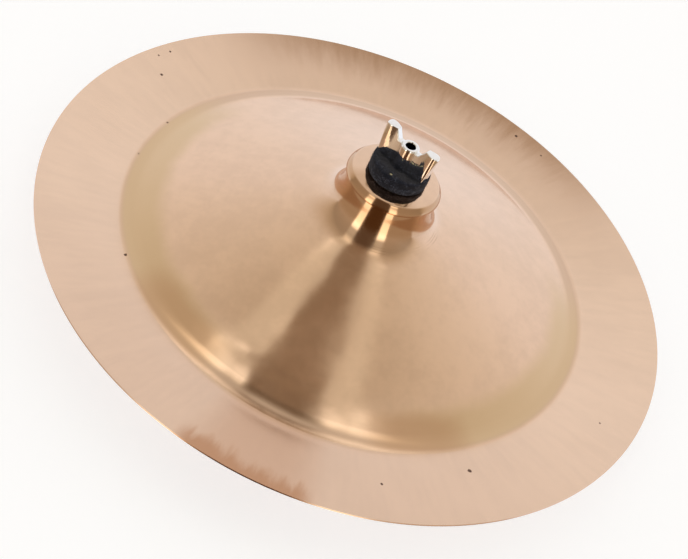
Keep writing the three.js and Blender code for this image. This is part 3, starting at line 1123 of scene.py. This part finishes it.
# %% [markdown]
# The wing nut is cast in one piece, then polished and plated, so all of its edges are soft.
# Bevels would have to follow every seam between hub, web and lobe. It is easier to join plain
# blocks, melt them into one skin with a voxel remesh, and smooth that skin a little. The
# outline from above and the one from the front are each pushed into a block, and what the
# two blocks share is the pair of wings.

# %% The outlines of the wings
NUT_SPAN = 44.0 * MM
WING_HEIGHT = 23.0 * MM
WING_FOOT_RISE = 3.0 * MM
WING_FOOT_LENGTH = 6.0 * MM
WING_LEAN = 2.4 * MM
WING_TOP_LENGTH = 9.5 * MM
WING_TOP_ROUND = 1.8 * MM
WEB_FOOT, WEB_THICKNESS = 8.2 * MM, 3.6 * MM
WEB_HEIGHT = 16.0 * MM
WEB_REACH = 8.6 * MM
LOBE_FOOT, LOBE_WIDTH = 8.4 * MM, 7.2 * MM
LOBE_STEPS = 20


def mirrored(side):
    return side + [(-x, y) for x, y in reversed(side)]


def nut_plan(web_width, lobe_width):
    web, lobe = web_width / 2, lobe_width / 2
    centre = NUT_SPAN / 2 - lobe
    swell = centre - lobe
    angles = [pi * i / LOBE_STEPS for i in range(LOBE_STEPS + 1)]
    end = [(centre + lobe * sin(angle), -lobe * cos(angle)) for angle in angles]
    return mirrored(joined(
        sway((WEB_REACH, -web), (swell, -web), (swell, -lobe), (centre, -lobe), 12), end,
        sway((centre, lobe), (swell, lobe), (swell, web), (WEB_REACH, web), 12),
    ))


def nut_front():
    half = NUT_SPAN / 2
    foot = half - WING_LEAN
    return mirrored(joined(
        curve((foot - WING_FOOT_LENGTH, 0), (foot, 0), (foot, WING_FOOT_RISE), 8),
        straight((foot, WING_FOOT_RISE), (half, WING_HEIGHT - WING_TOP_ROUND), 2),
        curve((half, WING_HEIGHT - WING_TOP_ROUND), (half, WING_HEIGHT),
              (half - WING_TOP_ROUND, WING_HEIGHT), 8),
        straight((half - WING_TOP_ROUND, WING_HEIGHT), (half - WING_TOP_LENGTH, WING_HEIGHT), 1),
        straight((half - WING_TOP_LENGTH, WING_HEIGHT), (WEB_REACH, WEB_HEIGHT), 1),
    ))


# %% [markdown]
# The hub is a round boss that narrows upwards, and the hole through it opens in a chamfer. A
# cone and a cylinder would do for them, but a turned section brings each chamfer with it. The
# block of the wings is drawn between two outlines, so that it narrows upwards too.

# %% Blocks, hub and hole
HUB_FOOT, HUB_RADIUS = 7.1 * MM, 6.4 * MM
HUB_HEIGHT = 17.3 * MM
HUB_CHAMFER = 0.6 * MM
NUT_BORE = 3.45 * MM
CUTTER_OVER = 1.0 * MM


def block(lower, upper, depth):
    """A block between two outlines of as many points."""
    shape = bmesh.new()
    foot = [shape.verts.new((x, y, 0)) for x, y in lower]
    head = [shape.verts.new((x, y, depth)) for x, y in upper]
    shape.faces.new(foot)
    shape.faces.new(head)
    for i in range(len(foot)):
        shape.faces.new((foot[i - 1], foot[i], head[i], head[i - 1]))
    bmesh.ops.recalc_face_normals(shape, faces=shape.faces)
    return shape


def nut_hub():
    return lathe([
        (0, 0), (HUB_FOOT, 0), (HUB_RADIUS, HUB_HEIGHT - HUB_CHAMFER),
        (HUB_RADIUS - HUB_CHAMFER, HUB_HEIGHT), (0, HUB_HEIGHT),
    ], TURNED_SIDES, False)


def nut_bore():
    top = HUB_HEIGHT + CUTTER_OVER
    return lathe([
        (0, -CUTTER_OVER), (NUT_BORE, -CUTTER_OVER), (NUT_BORE, HUB_HEIGHT - HUB_CHAMFER),
        (NUT_BORE + HUB_CHAMFER + CUTTER_OVER, top), (0, top),
    ], TURNED_SIDES, False)


# %% [markdown]
# Booleans put the nut together in order: what the two blocks share, then the hub added, then
# the hole taken away. Kept live, they would need their helpers in the scene for good. Instead
# the stack is worked out once, and only the plain mesh that comes out is kept.

# %% The wing nut
VOXEL = 0.26 * MM
SMOOTHINGS = 5


def combine(piece, operation, shape):
    other = object_of(piece.name + "_" + operation.lower(), shape)
    step = piece.modifiers.new(operation.lower(), "BOOLEAN")
    step.operation = operation
    step.object = other
    step.solver = "EXACT"
    return other


def make_wing_nut():
    plans = [nut_plan(WEB_FOOT, LOBE_FOOT), nut_plan(WEB_THICKNESS, LOBE_WIDTH)]
    wings = object_of("wings", block(*plans, WING_HEIGHT + CUTTER_OVER))
    front = block(nut_front(), nut_front(), 2 * LOBE_FOOT)
    bmesh.ops.translate(front, verts=front.verts, vec=(0, 0, -LOBE_FOOT))
    upright = Matrix.Rotation(pi / 2, 3, "X")
    bmesh.ops.rotate(front, verts=front.verts, cent=(0, 0, 0), matrix=upright)
    helpers = [
        combine(wings, "INTERSECT", front),
        combine(wings, "UNION", nut_hub()),
        combine(wings, "DIFFERENCE", nut_bore()),
    ]
    melt = wings.modifiers.new("melt", "REMESH")
    melt.mode = "VOXEL"
    melt.voxel_size = VOXEL
    polish = wings.modifiers.new("polish", "SMOOTH")
    polish.factor = 0.5
    polish.iterations = SMOOTHINGS
    mesh = evaluated(wings)
    for helper in (*helpers, wings):
        bpy.data.objects.remove(helper)
    mesh.transform(Matrix.Translation((0, 0, nut_low.z)) @ Matrix.Rotation(NUT_ANGLE, 4, "Z"))
    mesh.materials.clear()
    mesh.materials.append(CHROME)
    mesh.shade_smooth()
    nut = bpy.data.objects.new("cast_wing_nut", mesh)
    scene.collection.objects.link(nut)
    return finished(nut, "wing_nut", "chrome", "wing_nut")


make_wing_nut()

# %% [markdown]
# The stud and its washer are plated steel with fine drawn marks, duller than the chrome. The stud's
# upper end stands in the shade of the nut's hole, and that shade is painted. A second material would
# need its faces split where the nut ends, so a mask of the height paints it dark there instead.

# %% Steel
STEEL_GREY = (0.55, 0.55, 0.56)
STUD_SHADE = (0.035, 0.028, 0.022)
STUD_SHADE_FROM, STUD_SHADE_FULL = 84.0 * MM, 90.0 * MM
DRAWN_DEPTH = 0.05 * MM


def steel_material():
    material, tree, shader, place = new_material("steel")
    drawn = clouds(tree, place, 400, 4, 0.7)
    tone = fade(tree, drawn, 0.3, 0.7, 0.8, 1.05)
    colour = toned(tree, STEEL_GREY, tone)
    # Painted shade: the stud's upper end, deep in the nut's hole, is painted dark.
    in_hole_shade = fade(tree, axis_of(tree, place, "Z"), STUD_SHADE_FROM, STUD_SHADE_FULL)
    colour = blend_colours(tree, in_hole_shade, colour, STUD_SHADE)
    haze = fade(tree, drawn, 0.3, 0.7, 0.22, 0.38)
    normal = bumps(tree, drawn, 0.2, DRAWN_DEPTH)
    set_inputs(tree, shader, Base_Color=colour, Metallic=1, Roughness=haze, Normal=normal)
    return material


STEEL = steel_material()
print("steel is a graph of", len(STEEL.node_tree.nodes), "nodes")

# %% [markdown]
# A screw thread is a ridge that climbs as it winds. Cutting a groove with a boolean is slow and
# leaves slivers. Here the ridge's section is a small blunt triangle, and a spin that also lifts
# as it turns sweeps it into the helix. The widths of its foot and crest are shares of the
# thread's pitch, and the stud's plain core fills the middle of it.

# %% The stud
PITCH = 1.25 * MM
THREAD_ROOT, THREAD_CREST = 2.85 * MM, 3.3 * MM
THREAD_STEPS = 32
RIDGE_ROOT, RIDGE_CREST, RIDGE_SUNK = 0.48, 0.06, 0.3
THREAD_GAP = 0.8 * PITCH
THREAD_CHAMFER = 0.3 * MM
STUD_EDGE = 0.15 * MM
STUD_CHAMFER = 0.8 * MM
SHANK_RADIUS = 5.5 * MM
WASHER_THICKNESS = 1.5 * MM
washer_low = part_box("seat_washer")[0]
sleeve_low, sleeve_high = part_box("sleeve")
stud_low, stud_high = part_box("stud")
shoulder = sleeve_low.z - WASHER_THICKNESS


def helix(inner, outer, foot, turns):
    """A triangular ridge wound round the axis, from radius inner to radius outer."""
    ridge = bmesh.new()
    deep = inner - (outer - inner) * RIDGE_SUNK
    root, crest = RIDGE_ROOT * PITCH, RIDGE_CREST * PITCH
    section = [(deep, -root), (outer, -crest), (outer, crest), (deep, root)]
    start = ridge.faces.new([ridge.verts.new((radius, 0, foot + rise)) for radius, rise in section])
    steps = round(turns * THREAD_STEPS)
    bmesh.ops.spin(
        ridge, geom=[start], cent=(0, 0, 0), axis=(0, 0, 1), dvec=(0, 0, PITCH / THREAD_STEPS),
        angle=tau * turns, steps=steps, use_merge=False, use_normal_flip=False, use_duplicate=True,
    )
    return sealed(ridge)


def stud_core():
    return lathe([
        (0, stud_low.z), (SHANK_RADIUS - STUD_CHAMFER, stud_low.z),
        (SHANK_RADIUS, stud_low.z + STUD_CHAMFER), (SHANK_RADIUS, shoulder), (THREAD_ROOT, shoulder),
        (THREAD_ROOT, stud_high.z - THREAD_CHAMFER), (THREAD_ROOT - THREAD_CHAMFER, stud_high.z),
        (0, stud_high.z),
    ], TURNED_SIDES, False)


def make_stud():
    core = object_of("stud_core", stud_core(), STEEL)
    round_edges(core, STUD_EDGE, 2)
    finished(core, "stud", "steel", "stud")
    turns = (stud_high.z - shoulder - 2 * THREAD_GAP) / PITCH
    ridge = helix(THREAD_ROOT, THREAD_CREST, shoulder + THREAD_GAP, turns)
    thread = object_of("stud_thread", ridge, STEEL)
    finished(thread, "stud", "steel")


make_stud()

# %% [markdown]
# The sleeve that keeps the plate off the thread is moulded nylon: black, neither glossy nor
# quite dull, and a little uneven. Its tone, haze and bump could each have a noise of their own.
# One noise drives all three, so that it is lighter where it is duller, as a moulding is.

# %% Nylon
NYLON_BLACK = (0.014, 0.014, 0.016)
MOULDED_DEPTH = 0.1 * MM


def nylon_material():
    material, tree, shader, place = new_material("nylon")
    mottle = clouds(tree, place, 300, 3, 0.6)
    tone = fade(tree, mottle, 0.3, 0.7, 0.7, 1.4)
    colour = toned(tree, NYLON_BLACK, tone)
    haze = fade(tree, mottle, 0.3, 0.7, 0.40, 0.58)
    normal = bumps(tree, mottle, 0.25, MOULDED_DEPTH)
    set_inputs(tree, shader, Base_Color=colour, Roughness=haze, Normal=normal)
    return material


NYLON = nylon_material()
print("nylon is a graph of", len(NYLON.node_tree.nodes), "nodes")

# %% [markdown]
# Below the plate, where a look from underneath finds them, are the dished seat washer and
# the nylon sleeve. Both could be cylinders with a hole cut in them, but each is a section
# that a lathe turns in one go. A bevel then breaks their sharp edges.

# %% The seat washer and the sleeve
WASHER_BORE, WASHER_RADIUS, WASHER_LIP = 4.0 * MM, 14.5 * MM, 1.6 * MM
SLEEVE_BORE, SLEEVE_RADIUS = 3.7 * MM, 5.0 * MM
FLANGE_RADIUS, FLANGE_THICKNESS = 12.5 * MM, 1.5 * MM
DISH_RADIUS, DISH_LOW_RADIUS = WASHER_RADIUS - 2.2 * MM, WASHER_RADIUS - 0.9 * MM
DISH_LOW_RISE = 0.1 * MM
FINE_SIDES = 96
WASHER_EDGE, SLEEVE_EDGE = 0.2 * MM, 0.25 * MM


def make_washer():
    top = sleeve_low.z
    ring = lathe([
        (WASHER_BORE, top), (WASHER_BORE, shoulder), (DISH_RADIUS, shoulder),
        (DISH_LOW_RADIUS, washer_low.z + DISH_LOW_RISE), (WASHER_RADIUS, top - WASHER_LIP),
        (WASHER_RADIUS - WASHER_LIP, top),
    ], FINE_SIDES, True)
    washer = object_of("dished_washer", ring, STEEL)
    round_edges(washer, WASHER_EDGE, 3)
    finished(washer, "stud", "steel", "seat_washer")


def make_sleeve():
    foot, top = sleeve_low.z, sleeve_high.z
    tube = lathe([
        (SLEEVE_BORE, top), (SLEEVE_BORE, foot), (FLANGE_RADIUS, foot),
        (FLANGE_RADIUS, foot + FLANGE_THICKNESS), (SLEEVE_RADIUS, foot + FLANGE_THICKNESS),
        (SLEEVE_RADIUS, top),
    ], FINE_SIDES, True)
    sleeve = object_of("flanged_sleeve", tube, NYLON)
    round_edges(sleeve, SLEEVE_EDGE, 3)
    finished(sleeve, "stud", "nylon", "sleeve")


make_washer()
make_sleeve()
